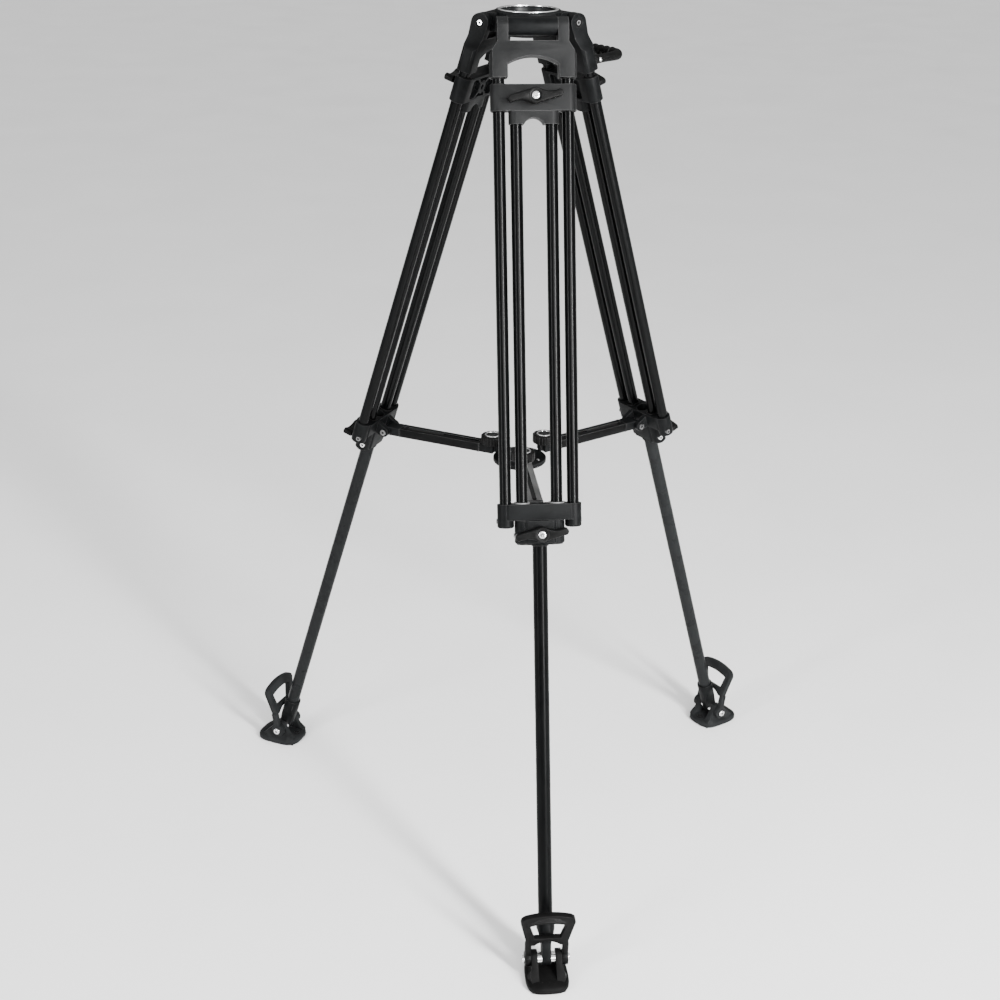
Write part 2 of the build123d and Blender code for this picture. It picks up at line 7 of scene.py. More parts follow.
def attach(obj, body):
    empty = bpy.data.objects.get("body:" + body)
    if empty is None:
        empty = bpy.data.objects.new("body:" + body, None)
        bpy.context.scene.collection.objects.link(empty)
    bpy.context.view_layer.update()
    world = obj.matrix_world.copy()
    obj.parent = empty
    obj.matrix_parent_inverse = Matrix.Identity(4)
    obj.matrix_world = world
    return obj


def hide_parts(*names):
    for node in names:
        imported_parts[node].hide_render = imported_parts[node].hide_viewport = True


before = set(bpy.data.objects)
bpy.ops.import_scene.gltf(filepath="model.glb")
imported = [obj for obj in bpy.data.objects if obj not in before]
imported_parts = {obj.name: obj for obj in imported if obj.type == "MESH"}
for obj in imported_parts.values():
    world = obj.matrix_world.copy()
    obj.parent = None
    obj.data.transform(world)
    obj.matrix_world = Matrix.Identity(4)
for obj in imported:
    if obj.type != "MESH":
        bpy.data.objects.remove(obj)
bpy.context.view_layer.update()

for default in ("Cube", "Light", "Camera"):
    if default in bpy.data.objects:
        bpy.data.objects.remove(bpy.data.objects[default])

# Shapes are made in millimetres, in the two sets of axes that the CAD uses. Leg axes have X along the
# hinge pin, Y outward and Z down the leg. Radial axes have X sideways, Y outward and Z up from the floor.
MM = 0.001
LEGS = {"front": -90, "right": 30, "left": 150}
SIDES = ((-1, "b"), (1, "a"))
TILT = math.radians(17.6)
HINGE_R, HINGE_Z = 49.6, 1234.3
FOOT_S = 1266.5
FOOT_R = HINGE_R + FOOT_S * math.sin(TILT)
FOOT_Z = HINGE_Z - FOOT_S * math.cos(TILT)

# stations down the leg, the tubes' distances from its middle, and the outer faces of pins and knobs
YOKE_END = 66.5
CLAMP_TOP, CLAMP_END = 75.5, 109.5
BASE_TOP = 628.5
LOW_CLAMP_END = 684
UPPER_KNOB_S, LOWER_KNOB_S = 92.5, 667.5
OUTER_TUBE_X, INNER_TUBE_X = 46.0, 23.6
HINGE_PIN_FACE = 46.8
WING_FACE, BOLT_FACE = 32.6, 33.55
STIRRUP_TILT = math.radians(27)

# the spreader's height, the reach and leg coordinates of its pivots on the legs, and its knobs
SPREADER_R, SPREADER_Z = 220, 613
PIVOT_Y = (SPREADER_R - HINGE_R) * math.cos(TILT) - (HINGE_Z - SPREADER_Z) * math.sin(TILT)
PIVOT_S = (SPREADER_R - HINGE_R) * math.sin(TILT) + (HINGE_Z - SPREADER_Z) * math.cos(TILT)
SPREADER_KNOB_Y = 45
ARM_HALF_DEPTH = 6.5
KNOB_GAP = 0.3
SPREADER_KNOB_Z = SPREADER_Z + ARM_HALF_DEPTH + KNOB_GAP
SPREADER_KNOB_H = 13

# the pad and the ears of a shoe
PAD_MIDDLE = FOOT_R + 8
PAD_HALF_X, PAD_HALF_Y = 30.9, 37.9
PAD_POWER = 3.4
EAR_IN, EAR_OUT = 12.7, 21.3
EAR_BACK, EAR_LENGTH = -24.0, 62.0
EAR_BASE = 8.5
EAR_ARC_R = 12.4

# the bowl
RIM_Z = 1251
BOWL_R = 37.5
THROAT_R = 27.9

# the carrying handle
HANDLE_X = 44
HANDLE_BEND = 12.0
GRIP_HALF = 31.5
RIBBED_HALF = 25
HANDLE_R, GRIP_R = 6.4, 7.3


def leg_matrix(azimuth):
    a = math.radians(azimuth)
    t = Vector((-math.sin(a), math.cos(a), 0))
    d = Vector((math.sin(TILT) * math.cos(a), math.sin(TILT) * math.sin(a), -math.cos(TILT)))
    n = d.cross(t)
    m = Matrix((t, n, d)).transposed().to_4x4()
    m.translation = (HINGE_R * math.cos(a), HINGE_R * math.sin(a), HINGE_Z)
    return m


def radial_matrix(azimuth):
    a = math.radians(azimuth)
    x = Vector((math.sin(a), -math.cos(a), 0))
    y = Vector((math.cos(a), math.sin(a), 0))
    return Matrix((x, y, Vector((0, 0, 1)))).transposed().to_4x4()


def along(matrix, x, y, z, direction):
    """A local frame at (x, y, z) in the given axes with its Z along a direction."""
    d = Vector(direction).normalized()
    turn = Vector((0, 0, 1)).rotation_difference(d).to_matrix().to_4x4()
    return matrix @ Matrix.Translation((x, y, z)) @ turn


# ---------------------------------------------------------------- materials
def node(tree, kind, **settings):
    n = tree.nodes.new(kind)
    for key, value in settings.items():
        setattr(n, key, value)
    return n


def noise(tree, vector, scale, detail):
    n = node(tree, "ShaderNodeTexNoise")
    n.inputs["Scale"].default_value = scale
    n.inputs["Detail"].default_value = detail
    tree.links.new(vector, n.inputs["Vector"])
    return n


def remap(tree, value, start, end, low, high):
    """A value that runs from start to end, turned into one that runs from low to high."""
    n = node(tree, "ShaderNodeMapRange")
    n.inputs["From Min"].default_value = start
    n.inputs["From Max"].default_value = end
    n.inputs["To Min"].default_value = low
    n.inputs["To Max"].default_value = high
    tree.links.new(value, n.inputs["Value"])
    return n.outputs["Result"]


def rubbed_and_highlit_edges(tree, colour, pattern, worn_and_highlit_edge, worn_and_highlit_edge_tone):
    """The colour with a paler tone on its sharp edges, broken up by the pattern: partly rubbed paint, partly
    a painted edge highlight.
    """
    link = tree.links.new
    rounded = node(tree, "ShaderNodeBevel", samples=4)
    rounded.inputs["Radius"].default_value = 1.1 * MM
    shape = node(tree, "ShaderNodeNewGeometry")
    flat = node(tree, "ShaderNodeVectorMath", operation="DOT_PRODUCT")
    link(rounded.outputs["Normal"], flat.inputs[0])
    link(shape.outputs["Normal"], flat.inputs[1])
    patchy = node(tree, "ShaderNodeMath", operation="MULTIPLY")
    link(remap(tree, flat.outputs["Value"], 0.995, 0.90, 0.0, worn_and_highlit_edge), patchy.inputs[0])
    link(pattern, patchy.inputs[1])
    mix = node(tree, "ShaderNodeMix", data_type="RGBA")
    link(patchy.outputs["Value"], mix.inputs["Factor"])
    link(colour, mix.inputs["A"])
    mix.inputs["B"].default_value = (worn_and_highlit_edge_tone, worn_and_highlit_edge_tone, worn_and_highlit_edge_tone, 1)
    return mix.outputs["Result"]


def material(name, dark, light, rough, metallic=0.0, spec=0.5, mottle=30.0, grain=1500.0, bump=0.12,
             depth=0.0002, stretch=(1, 1, 1), worn_and_highlit_edge=0.0, worn_and_highlit_edge_tone=0.2, rough_spread=0.1):
    """A slightly uneven surface: mottled tone, grain bump, uneven gloss and, if asked, paler edges, partly
    rubbed and partly a painted highlight.
    """
    m = bpy.data.materials.new(name)
    m.use_nodes = True
    tree = m.node_tree
    link = tree.links.new
    shader = tree.nodes["Principled BSDF"]
    shader.inputs["Metallic"].default_value = metallic
    shader.inputs["Specular IOR Level"].default_value = spec
    coords = node(tree, "ShaderNodeTexCoord")
    mapping = node(tree, "ShaderNodeMapping")
    mapping.inputs["Scale"].default_value = stretch
    link(coords.outputs["Object"], mapping.inputs["Vector"])
    broad = noise(tree, mapping.outputs["Vector"], mottle, 6.0)
    broad.inputs["Roughness"].default_value = 0.65
    tone = node(tree, "ShaderNodeValToRGB")
    tone.color_ramp.elements[0].position = 0.3
    tone.color_ramp.elements[1].position = 0.72
    tone.color_ramp.elements[0].color = (*dark, 1)
    tone.color_ramp.elements[1].color = (*light, 1)
    link(broad.outputs["Fac"], tone.inputs["Fac"])
    fine = noise(tree, mapping.outputs["Vector"], grain, 4.0)
    bumps = node(tree, "ShaderNodeBump")
    bumps.inputs["Strength"].default_value = bump
    bumps.inputs["Distance"].default_value = depth
    link(fine.outputs["Fac"], bumps.inputs["Height"])
    link(bumps.outputs["Normal"], shader.inputs["Normal"])
    gloss = remap(tree, broad.outputs["Fac"], 0.3, 0.7, rough - rough_spread, rough + rough_spread)
    link(gloss, shader.inputs["Roughness"])
    colour = tone.outputs["Color"]
    if worn_and_highlit_edge:
        colour = rubbed_and_highlit_edges(tree, colour, broad.outputs["Fac"], worn_and_highlit_edge, worn_and_highlit_edge_tone)
    link(colour, shader.inputs["Base Color"])
    return m


def grey(v, tint=0.0):
    return (v, v * (1 + tint), v * (1 + 1.6 * tint))


CASTING = material("textured black paint", grey(0.0022, 0.08), grey(0.0060, 0.08), 0.46, spec=0.055,
                   mottle=45, grain=1400, bump=0.35, depth=0.0003, worn_and_highlit_edge=0.8, worn_and_highlit_edge_tone=0.07)
# The same textured black paint made paler: painted light standing in for the front lamp on the front leg's
# yoke and upper clamp and on the spreader knob caps.
CASTING_PAINTED_LIT = material("textured black paint, lit side", grey(0.006, 0.03), grey(0.011, 0.03), 0.46,
                         spec=0.075, mottle=45, grain=1400, bump=0.35, depth=0.0003, worn_and_highlit_edge=0.8,
                         worn_and_highlit_edge_tone=0.13)
TUBE = material("satin black anodised tube", grey(0.0007, 0.1), grey(0.0019, 0.1), 0.22, spec=0.08,
                mottle=60, grain=900, bump=0.05, depth=0.0001, stretch=(1, 1, 0.06), rough_spread=0.04)
LOWER_TUBE = material("dark grey anodised tube", grey(0.001, 0.08), grey(0.0026, 0.08), 0.30, spec=0.045,
                      mottle=60, grain=900, bump=0.06, depth=0.0001, stretch=(1, 1, 0.06),
                      rough_spread=0.06)
KNOB = material("moulded black plastic", grey(0.0018), grey(0.0045), 0.36, spec=0.06, mottle=55,
                grain=2200, bump=0.22, depth=0.0002, worn_and_highlit_edge=0.5, worn_and_highlit_edge_tone=0.06)
RUBBER = material("black rubber", grey(0.002), grey(0.005), 0.55, spec=0.05, mottle=40, grain=1100,
                  bump=0.3, depth=0.0004, worn_and_highlit_edge=0.4, worn_and_highlit_edge_tone=0.04)
GRIP = material("ribbed soft grip", grey(0.002), grey(0.005), 0.48, spec=0.05, mottle=60, grain=1600,
                bump=0.3, depth=0.0003, worn_and_highlit_edge=0.4, worn_and_highlit_edge_tone=0.05)
ARM = material("brushed black aluminium", grey(0.0018, 0.02), grey(0.0045, 0.02), 0.36, spec=0.05,
               mottle=50, grain=700, bump=0.12, depth=0.0002, stretch=(1, 1, 3), worn_and_highlit_edge=0.9, worn_and_highlit_edge_tone=0.18)
# The same black aluminium made much paler: painted light on the front leg's spreader arm and its ends.
ARM_PAINTED_LIT = material("brushed black aluminium, lit side", grey(0.07, 0.0), grey(0.12, 0.0), 0.45,
                     spec=0.3, mottle=50, grain=700, bump=0.12, depth=0.0002, worn_and_highlit_edge=0.9, worn_and_highlit_edge_tone=0.3)
BRIGHT = material("machined bright aluminium", grey(0.72), grey(0.88), 0.24, metallic=0.9, mottle=70,
                  grain=1200, bump=0.10, depth=0.0001, rough_spread=0.08)
STEEL = material("polished steel", grey(0.66), grey(0.84), 0.16, metallic=1.0, mottle=220, grain=1800,
                 bump=0.08, depth=0.0001, rough_spread=0.06)
DULL_STEEL = material("blackened steel", grey(0.10), grey(0.20), 0.28, metallic=0.9, mottle=220,
                      grain=1800, bump=0.05)
# The black rubber and the dark anodised tube again, made paler for the side legs: painted light, as the same
# parts on the front leg are darker.
SIDE_RUBBER_PAINTED_LIGHTER = material("black rubber, painted lighter", grey(0.007, 0.06), grey(0.015, 0.06), 0.55, spec=0.07,
                       mottle=40, grain=1100, bump=0.3)
SIDE_TUBE_PAINTED_LIGHTER = material("anodised tube, painted lighter", grey(0.0085, 0.06), grey(0.0115, 0.06), 0.30, spec=0.05,
                     mottle=25, grain=1900, bump=0.05)
# Near black standing for the shade inside screw recesses and in the spreader arm's slot: painted shade.
RECESS_SHADE = material("dark screw recess", grey(0.004), grey(0.012), 0.5, spec=0.2, mottle=300, grain=2200,
                  bump=0.2, depth=0.0002)
BUSH = material("pale nylon bush", grey(0.10), grey(0.18), 0.45, spec=0.3, mottle=120, grain=1500,
                bump=0.12)
BOWL_DARK = material("black anodised bowl", grey(0.004, 0.1), grey(0.010, 0.1), 0.34, spec=0.18,
                     mottle=80, grain=1300, bump=0.08, depth=0.0001)


# ---------------------------------------------------------------- pieces
def paint(obj, mat):
    obj.data.materials.clear()
    obj.data.materials.append(mat)


def finish_piece(obj, mat, body, stands_for=()):
    paint(obj, mat)
    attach(obj, body)
    if stands_for:
        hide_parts(*stands_for)


def place_mesh(name, mesh):
    obj = bpy.data.objects.new(name.replace(" ", "_"), mesh)
    bpy.context.scene.collection.objects.link(obj)
    return obj


def mesh_object(name, bm, matrix):
    """A mesh made in millimetres in local axes, placed in the frame in metres."""
    bmesh.ops.recalc_face_normals(bm, faces=bm.faces)
    mesh = bpy.data.meshes.new(name)
    bm.to_mesh(mesh)
    bm.free()
    mesh.transform(Matrix.Scale(MM, 4) @ matrix)
    obj = place_mesh(name, mesh)
    mesh.shade_smooth()
    mesh.set_sharp_from_angle(angle=math.radians(35))
    return obj


def bevelled_copy(cad_name, name, mat, body, width, segments):
    """A copy of a CAD solid with every sharp edge rounded, as a casting or moulding has."""
    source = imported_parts[cad_name]
    bm = bmesh.new()
    bm.from_mesh(source.data)
    bmesh.ops.remove_doubles(bm, verts=bm.verts, dist=2e-6)
    bmesh.ops.dissolve_limit(bm, angle_limit=math.radians(0.6), verts=bm.verts, edges=bm.edges)
    mesh = bpy.data.meshes.new(name)
    bm.to_mesh(mesh)
    bm.free()
    obj = place_mesh(name, mesh)
    mod = obj.modifiers.new("rounded edges", "BEVEL")
    mod.width = width * MM
    mod.segments = segments
    mod.limit_method = "ANGLE"
    mod.angle_limit = math.radians(38)
    mod.use_clamp_overlap = True
    mod.harden_normals = False
    with bpy.context.temp_override(object=obj, active_object=obj, selected_objects=[obj]):
        bpy.ops.object.modifier_apply(modifier=mod.name)
    obj.data.shade_smooth()
    obj.data.set_sharp_from_angle(angle=math.radians(32))
    finish_piece(obj, mat, body, (cad_name,))


def lathe(name, profile, matrix, mat, body, steps=48, closed=False):
    """A profile of (radius, height) turned about local Z. A closed one joins its end to its start."""
    bm = bmesh.new()
    rings = []
    for r, h in profile:
        if r < 1e-6:
            rings.append([bm.verts.new((0, 0, h))])
            continue
        ring = []
        for k in range(steps):
            a = 2 * math.pi * k / steps
            ring.append(bm.verts.new((r * math.cos(a), r * math.sin(a), h)))
        rings.append(ring)
    pairs = list(zip(rings, rings[1:]))
    if closed:
        pairs.append((rings[-1], rings[0]))
    for a, b in pairs:
        for k in range(steps):
            j = (k + 1) % steps
            if len(a) == 1:
                bm.faces.new((a[0], b[j], b[k]))
            elif len(b) == 1:
                bm.faces.new((a[k], a[j], b[0]))
            else:
                bm.faces.new((a[k], a[j], b[j], b[k]))
    finish_piece(mesh_object(name, bm, matrix), mat, body)


def hex_recess_shade(name, radius, matrix, body):
    """Painted shade in the recess of a socket screw: a dark, sunk hexagon with a raised lip round it."""
    profile = [(0, 0.04), (radius * 0.86, 0.04), (radius, 0.12), (radius * 1.12, 0.10), (radius * 1.2, 0.0)]
    lathe(name, profile, matrix, RECESS_SHADE, body, steps=6)


def block(name, place, size, matrix, mat, body, rounding=0.0):
    """A bar or strap, with its edges rounded if a rounding is given."""
    bm = bmesh.new()
    bmesh.ops.create_cube(bm, size=1, matrix=Matrix.Translation(place) @ Matrix.Diagonal((*size, 1)))
    if rounding:
        bmesh.ops.bevel(bm, geom=bm.edges[:], offset=rounding, segments=2, affect="EDGES")
    finish_piece(mesh_object(name, bm, matrix), mat, body)


def loft(name, rings, matrix):
    """Closed rings of equal length joined into one skin, with both ends capped."""
    bm = bmesh.new()
    made = [[bm.verts.new(p) for p in ring] for ring in rings]
    count = len(made[0])
    for a, b in zip(made, made[1:]):
        for k in range(count):
            j = (k + 1) % count
            bm.faces.new((a[k], a[j], b[j], b[k]))
    bm.faces.new(list(reversed(made[0])))
    bm.faces.new(made[-1])
    return mesh_object(name, bm, matrix)


def sweep(name, points, radii, matrix, steps):
    """A round bar of changing radius along a path."""
    rings = []
    previous = None
    for i, p in enumerate(points):
        p = Vector(p)
        ahead = Vector(points[min(i + 1, len(points) - 1)])
        behind = Vector(points[max(i - 1, 0)])
        d = (ahead - behind).normalized()
        side = previous if previous is not None else d.orthogonal().normalized()
        side = (side - d * side.dot(d)).normalized()
        previous = side
        up = d.cross(side)
        ring = []
        for k in range(steps):
            a = 2 * math.pi * k / steps
            ring.append(p + side * math.cos(a) * radii[i] + up * math.sin(a) * radii[i])
        rings.append(ring)
    return loft(name, rings, matrix)


# ---------------------------------------------------------------- shoes
def pad_outline(inset, z):
    """A rounded rectangle, a little narrower at the heel, drawn in by an inset."""
    steps = 72
    ring = []
    for k in range(steps):
        a = 2 * math.pi * k / steps
        c, s = math.cos(a), math.sin(a)
        x = math.copysign(abs(c) ** (2 / PAD_POWER), c) * (PAD_HALF_X - inset)
        y = math.copysign(abs(s) ** (2 / PAD_POWER), s) * (PAD_HALF_Y - inset)
        x *= 1.0 - 0.05 * (1 - y / PAD_HALF_Y) / 2
        ring.append((x, PAD_MIDDLE + y, z))
    return ring


def ear_top(y):
    """The height of an ear: an arc over the pin, then a slope that runs out on the pad."""
    pad_top = 12.6 - 0.018 * max(0.0, y - 20) ** 2
    fall = (y - 7.0) / 31.0 if y > 0 else (-7.0 - y) / 17.0
    if fall <= 0:
        top = FOOT_Z + math.sqrt(EAR_ARC_R ** 2 - y * y)
    else:
        top = pad_top + (FOOT_Z + 10.2 - pad_top) * (1 - fall) ** 1.55
    return max(top, pad_top)


def ear_section(side, y):
    """A section across an ear: the outer face flares into the pad and the inner face is flat."""
    steps = 12
    top = ear_top(y)
    height = top - EAR_BASE
    crest = top + 0.5 if height > 8 else top
    flare_top = 16.2 if abs(y) < 11.5 else 16.2 + 1.3 * (abs(y) - 11.5)
    ring = []
    for j in range(steps + 1):
        z = EAR_BASE + height * (j / steps)
        flare = 7.6 * max(0.0, 1 - (z - EAR_BASE) / (flare_top - EAR_BASE)) ** 1.5 * min(1.0, height / 14)
        ring.append((side * (EAR_OUT + flare), FOOT_R + y, z))
    for x in (20.2, 14.0):
        ring.append((side * x, FOOT_R + y, crest))
    for j in range(steps + 1):
        ring.append((side * EAR_IN, FOOT_R + y, EAR_BASE + height * (1 - j / steps)))
    return ring


def shoe(leg, rm, rubber):
    """Moulded rubber shoe: a domed pad with two flared ears, tread bars below and toe studs on top."""
    body = f"{leg}_shoe"
    levels = [(2.2, 0.0), (0.6, 0.9), (0.0, 2.6), (0.0, 7.2), (0.5, 8.6), (1.7, 9.7), (4.2, 10.8),
              (8.5, 12.0), (14.0, 13.0), (22.0, 13.5)]
    pad = loft(f"{leg} shoe pad", [pad_outline(inset, z) for inset, z in levels], rm)
    finish_piece(pad, rubber, body, (f"{leg}_rubber_foot",))

    stations = 40
    for side, word in ((-1, "inner"), (1, "outer")):
        sections = [ear_section(side, EAR_BACK + EAR_LENGTH * i / stations) for i in range(stations + 1)]
        finish_piece(loft(f"{leg} shoe ear {word}", sections, rm), rubber, body)
        lathe(f"{leg} shoe boss {word}", [(4.4, 0), (9.6, 0), (10.3, 0.25), (10.3, 0.3), (4.4, 0.3)],
              along(rm, side * EAR_OUT, FOOT_R, FOOT_Z, (side, 0, 0)), rubber, body, closed=True)

    for k in range(5):
        block(f"{leg} shoe tread {k}", (0, FOOT_R - 22 + k * 15, 0.9), (46, 6, 1.7), rm, rubber, body)
    lathe(f"{leg} shoe dimple", [(2.2, -0.2), (2.9, 0.5), (4.3, 0.7), (5.0, 0.0)],
          along(rm, 0, FOOT_R - 21, 12.9, (0, 0, 1)), KNOB, body)
    for k in range(3):
        lathe(f"{leg} shoe toe stud {k}", [(0, 0.9), (1.6, 0.8), (2.3, 0.3), (2.5, -0.4)],
              along(rm, (k - 1) * 9, FOOT_R + 34, 11.9, (0, 0.15, 1)), rubber, body, steps=20)


# ---------------------------------------------------------------- legs
def cad_parts(leg):
    """Rounded copies of the leg's castings and mouldings, and materials on its tubes, screws and pin."""
    front = leg == "front"
    # The front leg's yoke and upper clamp take the black paint painted lit.
    cast = CASTING_PAINTED_LIT if front else CASTING
    # The side legs' stirrups take the rubber painted lighter.
    stirrup = KNOB if front else SIDE_RUBBER_PAINTED_LIGHTER
    # The front leg's arm and arm ends take the aluminium painted lit.
    arm = ARM_PAINTED_LIT if front else ARM
    arm_ends = ARM_PAINTED_LIT if front else CASTING
    # The side legs' lower tubes take the tube painted lighter.
    lower_tube = LOWER_TUBE if front else SIDE_TUBE_PAINTED_LIGHTER
    copies = (
        ("yoke", "yoke casting", cast, "stage_one", "casting", 1.4, 3),
        ("upper_clamp", "upper clamp casting", cast, "stage_two", "casting", 1.0, 3),
        ("lower_clamp", "lower clamp casting", CASTING, "stage_two", "casting", 1.0, 3),
        ("tube_base", "tube base casting", CASTING, "stage_one", "casting", 1.0, 3),
        ("foot_socket", "foot socket casting", CASTING, "stage_three", "casting", 0.9, 2),
        ("stirrup", "stirrup moulding", stirrup, "stirrup_ring", "knob_plastic", 1.7, 3),
        ("upper_knob", "upper knob moulding", KNOB, "upper_wing", "knob_plastic", 0.8, 2),
        ("lower_knob", "lower knob moulding", KNOB, "lower_wing", "knob_plastic", 0.8, 2),
        ("spreader_arm", "spreader channel", arm, "arm", "black_aluminium", 0.6, 2),
        ("spreader_fittings", "spreader ends", arm_ends, "arm", "casting", 0.8, 2),
        ("spreader_knob", "spreader knob moulding", KNOB, "arm_knob", "knob_plastic", 0.7, 2),
    )
    for part, piece, mat, body, slot, width, segments in copies:
        bevelled_copy(f"{leg}_{part}", f"{leg} {piece}", mat, f"{leg}_{body}", width, segments)
    painted = (
        ("outer_tubes", TUBE),
        ("inner_tubes", TUBE),
        ("lower_tube", lower_tube),
        ("base_screws", DULL_STEEL),
        ("clamp_bolts", STEEL),
        ("foot_pin", STEEL),
    )
    for part, mat in painted:
        paint(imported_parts[f"{leg}_{part}"], mat)


def bushes_and_screws(leg, lm):
    """Bushes where the stages slide, painted shade in the drive recesses of pins and screws, and rings round
    some heads.
    """
    front = leg == "front"
    one, two, three = f"{leg}_stage_one", f"{leg}_stage_two", f"{leg}_stage_three"
    recesses = (
        ("lobe screw", 1.7, 58.1, -4, 652, one),
        ("ear screw", 1.9, 21.9, PIVOT_Y, PIVOT_S, one),
        ("clamp screw", 1.7, 34.9, -4, 672.5, two),
        ("foot pin", 1.9, 33.7, 0, FOOT_S, three),
        ("hinge pin", 1.8, HINGE_PIN_FACE, 0, 0, "crown"),
    )
    for side, word in SIDES:
        # The same bush is pale on the front leg and dark on the side legs: the difference is painted light
        # and shade.
        lathe(f"{leg} inner tube bush {word}",
              [(8.5, 0), (10.6, 0), (10.9, -0.4), (10.9, -1.8), (8.5, -1.8)],
              along(lm, side * INNER_TUBE_X, 0, BASE_TOP, (0, 0, 1)), BUSH if front else KNOB, one,
              closed=True)
        for s, face in ((CLAMP_TOP, -1), (CLAMP_END, 1)):
            lathe(f"{leg} outer tube bush {word} {int(s)}",
                  [(8.45, 0), (9.9, 0), (10.2, 0.3), (10.2, 0.7), (9.6, 1.1), (8.45, 1.1)],
                  along(lm, side * OUTER_TUBE_X, 0, s, (0, 0, face)), KNOB, two, closed=True)
        lathe(f"{leg} yoke collar {word}", [(8.1, 0), (9.7, 0), (9.4, 1.4), (8.1, 1.6)],
              along(lm, side * OUTER_TUBE_X, 0, YOKE_END, (0, 0, 1)), KNOB, one, closed=True)
        for part, radius, x, y, s, body in recesses:
            hex_recess_shade(f"{leg} {part} recess {word}", radius, along(lm, side * x, y, s, (side, 0, 0)), body)
        lathe(f"{leg} hinge pin ring {word}",
              [(3.3, -0.4), (3.3, 0.35), (3.7, 0.45), (4.6, 0.45), (4.9, 0.2), (4.9, -0.4)],
              along(lm, side * HINGE_PIN_FACE, 0, 0, (side, 0, 0)), KNOB, "crown", closed=True)
    lathe(f"{leg} lower tube gland", [(10.45, 0), (12.4, 0), (12.1, 1.6), (11.4, 2.2), (10.45, 2.2)],
          along(lm, 0, 0, LOW_CLAMP_END, (0, 0, 1)), KNOB, two, closed=True)
    for s, word in ((UPPER_KNOB_S, "upper"), (LOWER_KNOB_S, "lower")):
        hex_recess_shade(f"{leg} {word} bolt recess", 1.5, along(lm, 0, BOLT_FACE, s, (0, 1, 0)), two)
        lathe(f"{leg} {word} knob skirt",
              [(6.4, 0), (7.2, 0.35), (8.9, 0.35), (9.4, 0.0), (9.4, -0.5), (6.4, -0.5)],
              along(lm, 0, WING_FACE, s, (0, 1, 0)), KNOB, f"{leg}_{word}_wing", closed=True)


def stirrup_grip(leg, lm):
    """Five raised grip lines across the stirrup's top bar, each a little shorter and more bowed."""
    ring_up = Vector((0, math.sin(STIRRUP_TILT), -math.cos(STIRRUP_TILT)))
    ring_face = Vector((0, math.cos(STIRRUP_TILT), math.sin(STIRRUP_TILT)))
    for k in range(5):
        reach = 24 - 2 * k
        path = []
        for i in range(13):
            f = -1 + 2 * i / 12
            lift = 75.6 + k * 1.9 - (1.6 + 0.4 * k) * f * f
            path.append(Vector((reach * f, 0, FOOT_S)) + ring_up * lift + ring_face * 4.45)
        line = sweep(f"{leg} stirrup grip line {k}", path, [0.45] * len(path), lm, 8)
        finish_piece(line, KNOB, f"{leg}_stirrup_ring")


def spreader_details(leg, rm):
    """Bright ring, cap and ribs on the spreader's knob, and the slider, rail and bands of its arm."""
    knob = f"{leg}_arm_knob"
    knob_top = along(rm, 0, SPREADER_KNOB_Y, SPREADER_KNOB_Z + SPREADER_KNOB_H, (0, 0, 1))
    lathe(f"{leg} spreader knob ring",
          [(9.2, 0), (9.4, 0.8), (10.9, 0.95), (11.3, 0.4), (11.3, -0.3), (9.2, -0.3)],
          knob_top, BRIGHT, knob, closed=True)
    # The knob cap takes the black paint painted lit.
    lathe(f"{leg} spreader knob cap",
          [(0, 0.55), (3.0, 0.5), (3.4, 0.15), (6.4, 0.2), (6.8, 0.45), (9.1, 0.4), (9.2, -0.2)],
          knob_top, CASTING_PAINTED_LIT, knob)
    ribs = 24
    rib_reach = 16.55
    for k in range(ribs):
        a = 2 * math.pi * k / ribs
        foot = along(rm, rib_reach * math.cos(a), SPREADER_KNOB_Y + rib_reach * math.sin(a), SPREADER_KNOB_Z,
                     (0, 0, 1))
        lathe(f"{leg} spreader knob rib {k}",
              [(0.0, 12.2), (0.55, 11.9), (0.7, 11.0), (0.7, 1.0), (0.0, 0.6)],
              foot, KNOB, knob, steps=8)
    # The slider and inner rail fill the arm's slot and hollow with the recess colour: painted shade in the
    # channel.
    block(f"{leg} spreader slider", (0, 157, 617.8), (6.0, 60, 2.4), rm, RECESS_SHADE, f"{leg}_arm",
          0.4)
    block(f"{leg} spreader inner rail", (0, 129, 611.6), (15.2, 126, 8.6), rm, RECESS_SHADE, f"{leg}_arm",
          0.4)
    for k, y in enumerate((63.5, 196.5)):
        block(f"{leg} spreader band {k}", (0, y, SPREADER_Z), (22.8, 2.4, 13.8), rm, CASTING, f"{leg}_arm",
              0.5)


for leg, azimuth in LEGS.items():
    leg_axes = leg_matrix(azimuth)
    radial_axes = radial_matrix(azimuth)
    cad_parts(leg)
    # The side legs' shoes take the rubber painted lighter.
    shoe(leg, radial_axes, RUBBER if leg == "front" else SIDE_RUBBER_PAINTED_LIGHTER)
    bushes_and_screws(leg, leg_axes)
    stirrup_grip(leg, leg_axes)
    spreader_details(leg, radial_axes)

# ---------------------------------------------------------------- crown, bowl and hub
bevelled_copy("crown", "crown casting", CASTING, "crown", 1.2, 3)
bevelled_copy("bowl_seat", "bowl liner", BRIGHT, "crown", 0.5, 2)
paint(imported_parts["hinge_pins"], STEEL)
paint(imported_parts["spreader_hub_screw"], STEEL)
bevelled_copy("spreader_hub", "spreader hub casting", CASTING, "spreader_hub", 0.8, 2)

# a dark skin just inside the half ball, with a fine ridge at every fourth ring, and on down the throat
centre = Matrix.Identity(4)
skin = []
for k in range(21):
    z = RIM_Z - 1.5 - 23.2 * k / 20
    clear = 0.08 if k % 4 else 0.30
    skin.append((math.sqrt(BOWL_R ** 2 - (RIM_Z - z) ** 2) - clear, z))
skin += [(THROAT_R, 1225.6), (THROAT_R, 1217.3)]
lathe("bowl dark seat", skin, centre, BOWL_DARK, "crown", steps=96)

